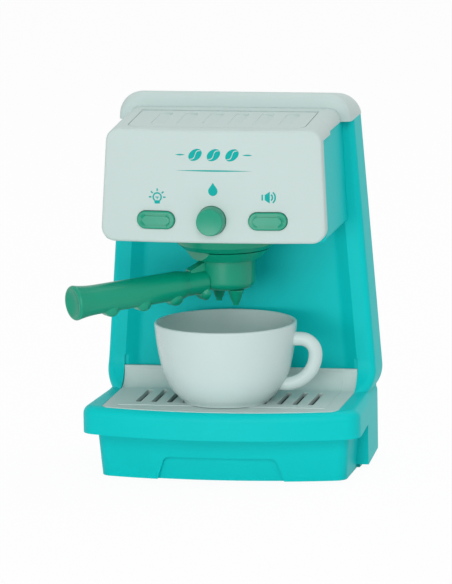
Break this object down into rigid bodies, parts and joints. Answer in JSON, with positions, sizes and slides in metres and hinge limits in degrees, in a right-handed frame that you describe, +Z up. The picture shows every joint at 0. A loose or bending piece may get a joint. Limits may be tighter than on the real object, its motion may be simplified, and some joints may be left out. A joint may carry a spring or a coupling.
{
  "type": "toy coffee maker",
  "caption": "Toy espresso machine with push buttons, filling lid, swivelling portafilter, slotted drip tray and a cup standing in its brewing bay.",
  "frame": {"origin": "on the floor, in the underside of the battery door, under the middle of the base", "axes": "+Z up, -Y towards the front panel and the user, +X to the user's right"},
  "size_m": [0.1536, 0.1336, 0.2027],
  "materials": {
    "turquoise_plastic": "satin moulded plastic",
    "white_plastic": "satin moulded plastic",
    "green_plastic": "glossy moulded plastic",
    "white_gloss": "glossy moulded plastic",
    "clear_tank": "milky moulded plastic",
    "grey_plastic": "matt moulded plastic",
    "board_green": "solder resist",
    "black_plastic": "matt",
    "lamp_clear": "clear",
    "black_rubber": "soft",
    "steel": "bright",
    "cell_wrap": "printed sleeve, plain",
    "foot_rubber": "soft"
  },
  "bodies": {
    "machine": {"body_shell": "turquoise_plastic", "head_cover": "white_plastic", "water_tank": "clear_tank", "valve_body": "grey_plastic", "brew_spring": "steel", "control_board": "board_green", "light_switch": "black_plastic", "sound_switch": "black_plastic", "indicator_led": "lamp_clear", "group_collar": "green_plastic", "drip_basin": "grey_plastic", "rear_cover": "turquoise_plastic", "base_plate": "turquoise_plastic", "battery_door": "turquoise_plastic", "battery_front": "cell_wrap", "battery_rear": "cell_wrap", "battery_contacts": "steel", "speaker": "black_plastic", "feet": "foot_rubber", "rear_screws": "steel", "base_screws": "steel", "board_screws": "steel", "door_screw": "steel"},
    "lid": {"tank_lid": "white_plastic"},
    "light_key": {"light_button": "green_plastic"},
    "sound_key": {"sound_button": "green_plastic"},
    "brew_key": {"brew_button": "green_plastic", "valve_spool": "grey_plastic", "spool_seals": "black_rubber"},
    "portafilter": {"portafilter_ring": "green_plastic", "filter_basket": "green_plastic", "portafilter_spouts": "green_plastic", "portafilter_handle": "green_plastic"},
    "tray": {"drip_tray": "white_plastic"},
    "cup": {"cup": "white_gloss"}
  },
  "joints": [
    {"name": "lid_hinge", "type": "hinge", "parent": "machine", "child": "lid", "pos_m": [0, 0.0036, 0.19133], "axis": [-1, 0, 0], "range_deg": [0, 80]},
    {"name": "light_press", "type": "slide", "parent": "machine", "child": "light_key", "axis": [0, 1, 0], "range_m": [0, 0.0015], "stiffness_N_per_m": 400, "springref_m": -0.001},
    {"name": "sound_press", "type": "slide", "parent": "machine", "child": "sound_key", "axis": [0, 1, 0], "range_m": [0, 0.0015], "stiffness_N_per_m": 400, "springref_m": -0.001},
    {"name": "brew_press", "type": "slide", "parent": "machine", "child": "brew_key", "axis": [0, 1, 0], "range_m": [0, 0.0035], "stiffness_N_per_m": 300, "springref_m": -0.002, "deforming": ["brew_spring"]},
    {"name": "portafilter_turn", "type": "hinge", "parent": "machine", "child": "portafilter", "pos_m": [0, -0.0114, 0.12], "axis": [0, 0, 1], "range_deg": [0, 50]},
    {"name": "tray_lift", "type": "slide", "parent": "machine", "child": "tray", "axis": [0, 0, 1], "range_m": [0, 0.005]},
    {"name": "cup_draw", "type": "slide", "parent": "tray", "child": "cup", "axis": [0, -1, 0], "range_m": [0, 0.09]}
  ]
}
